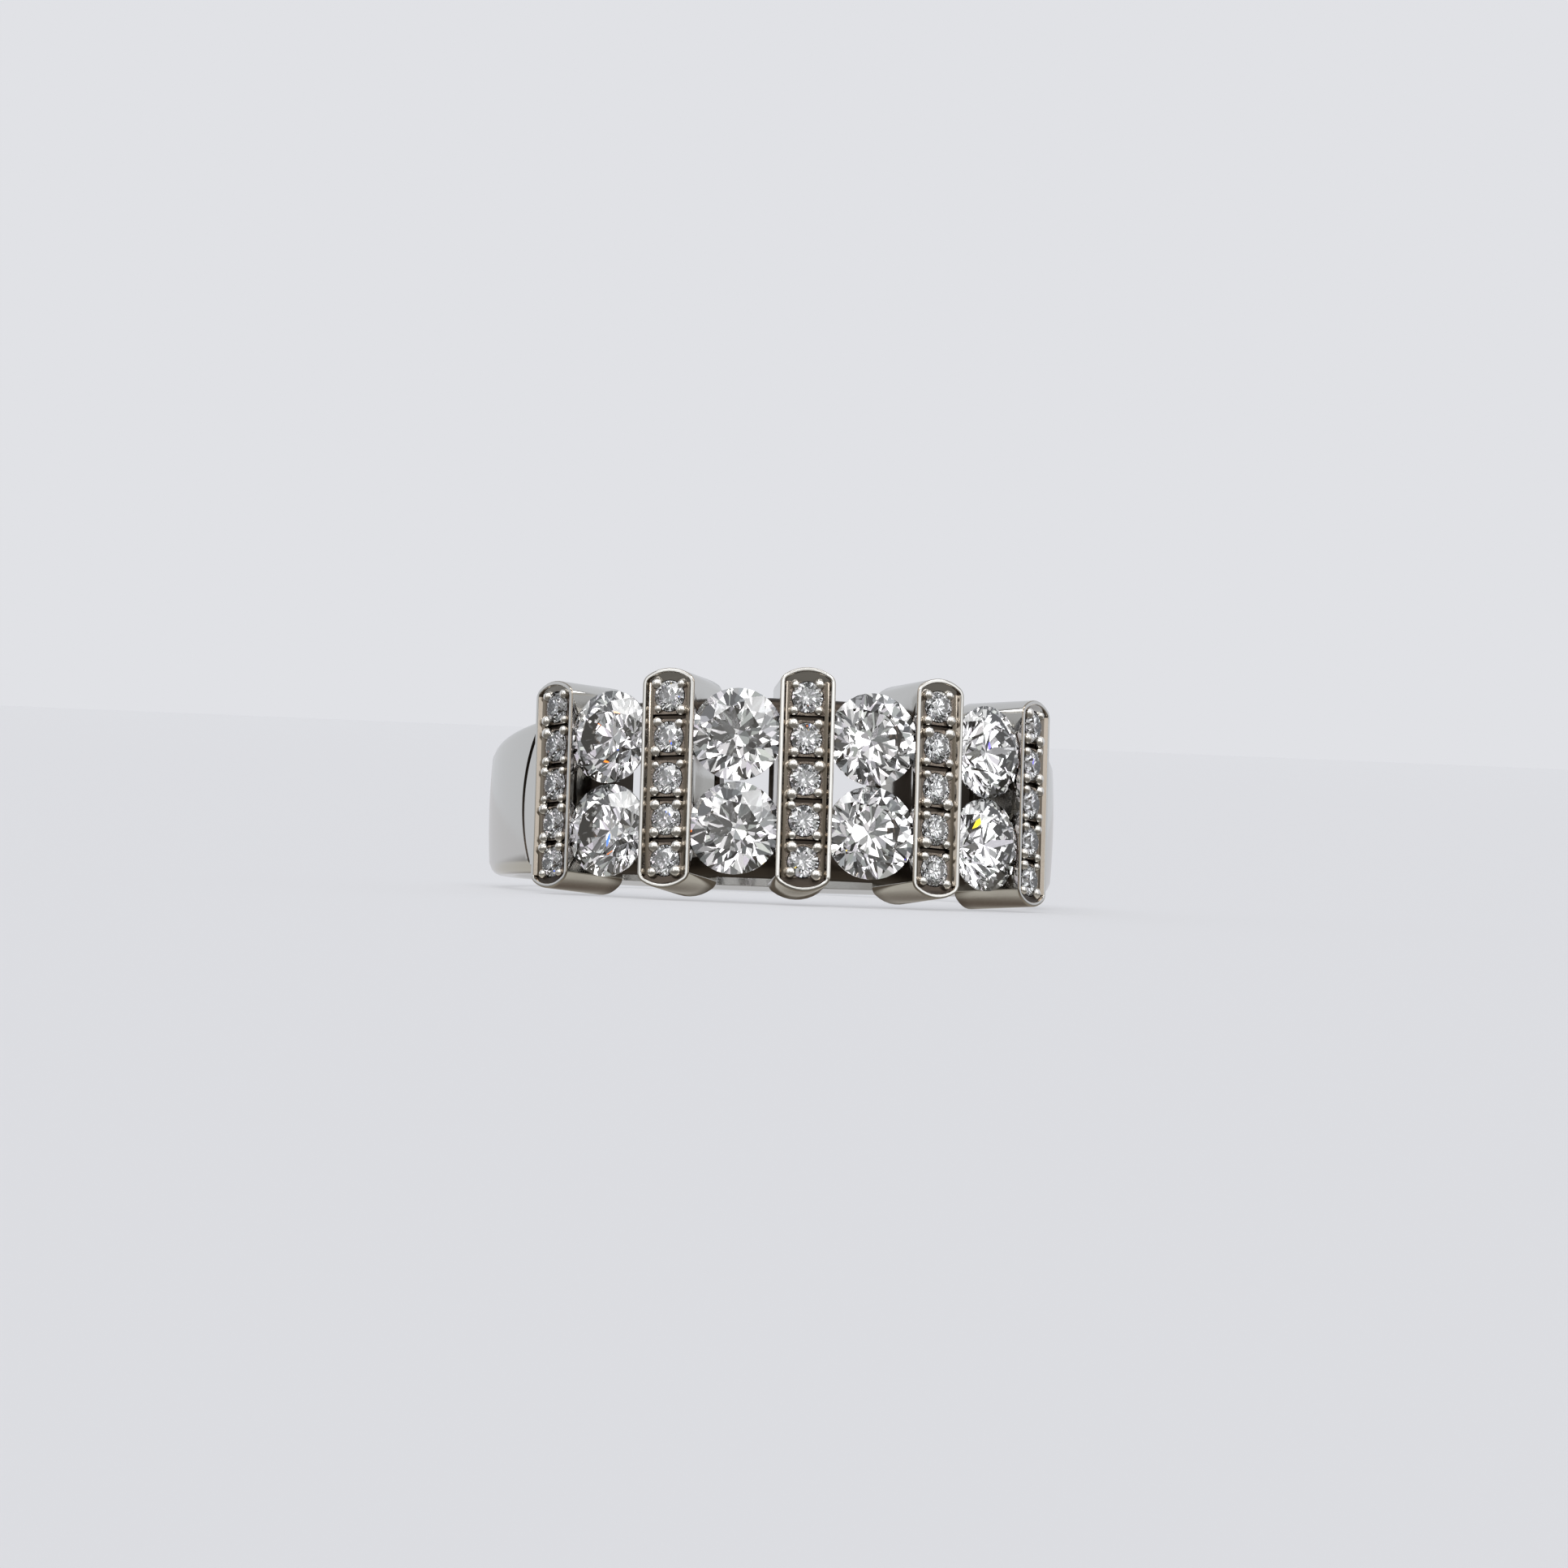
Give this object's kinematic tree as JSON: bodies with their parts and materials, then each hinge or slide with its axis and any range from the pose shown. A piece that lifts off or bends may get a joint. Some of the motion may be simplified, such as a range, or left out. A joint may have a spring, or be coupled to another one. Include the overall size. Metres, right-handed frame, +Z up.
{
  "type": "bar set band ring",
  "caption": "White gold ring lying on its side: bars of small pavé stones across the head grip pairs of round brilliants between them, on a plain band that narrows to the back.",
  "frame": {"origin": "centre of the finger hole, midway between the two sides of the band", "axes": "+Z up with the ring lying at rest on its side, -Y towards the jewelled head, +Y towards the plain back of the band, +X to the right seen from in front of the head; the finger hole's axis leans 7.5 degrees from +Z towards +Y, because the head is wider than the back"},
  "size_m": [0.0188, 0.0216, 0.0077],
  "materials": {
    "white_gold": "polished",
    "diamond": "clear, faceted"
  },
  "bodies": {
    "root": {"band": "white_gold", "stone_1_upper": "diamond", "stone_1_lower": "diamond", "stone_2_upper": "diamond", "stone_2_lower": "diamond", "stone_3_upper": "diamond", "stone_3_lower": "diamond", "stone_4_upper": "diamond", "stone_4_lower": "diamond", "accent_1_1": "diamond", "accent_1_2": "diamond", "accent_1_3": "diamond", "accent_1_4": "diamond", "accent_1_5": "diamond", "accent_2_1": "diamond", "accent_2_2": "diamond", "accent_2_3": "diamond", "accent_2_4": "diamond", "accent_2_5": "diamond", "accent_3_1": "diamond", "accent_3_2": "diamond", "accent_3_3": "diamond", "accent_3_4": "diamond", "accent_3_5": "diamond", "accent_4_1": "diamond", "accent_4_2": "diamond", "accent_4_3": "diamond", "accent_4_4": "diamond", "accent_4_5": "diamond", "accent_5_1": "diamond", "accent_5_2": "diamond", "accent_5_3": "diamond", "accent_5_4": "diamond", "accent_5_5": "diamond"}
  },
  "joints": []
}
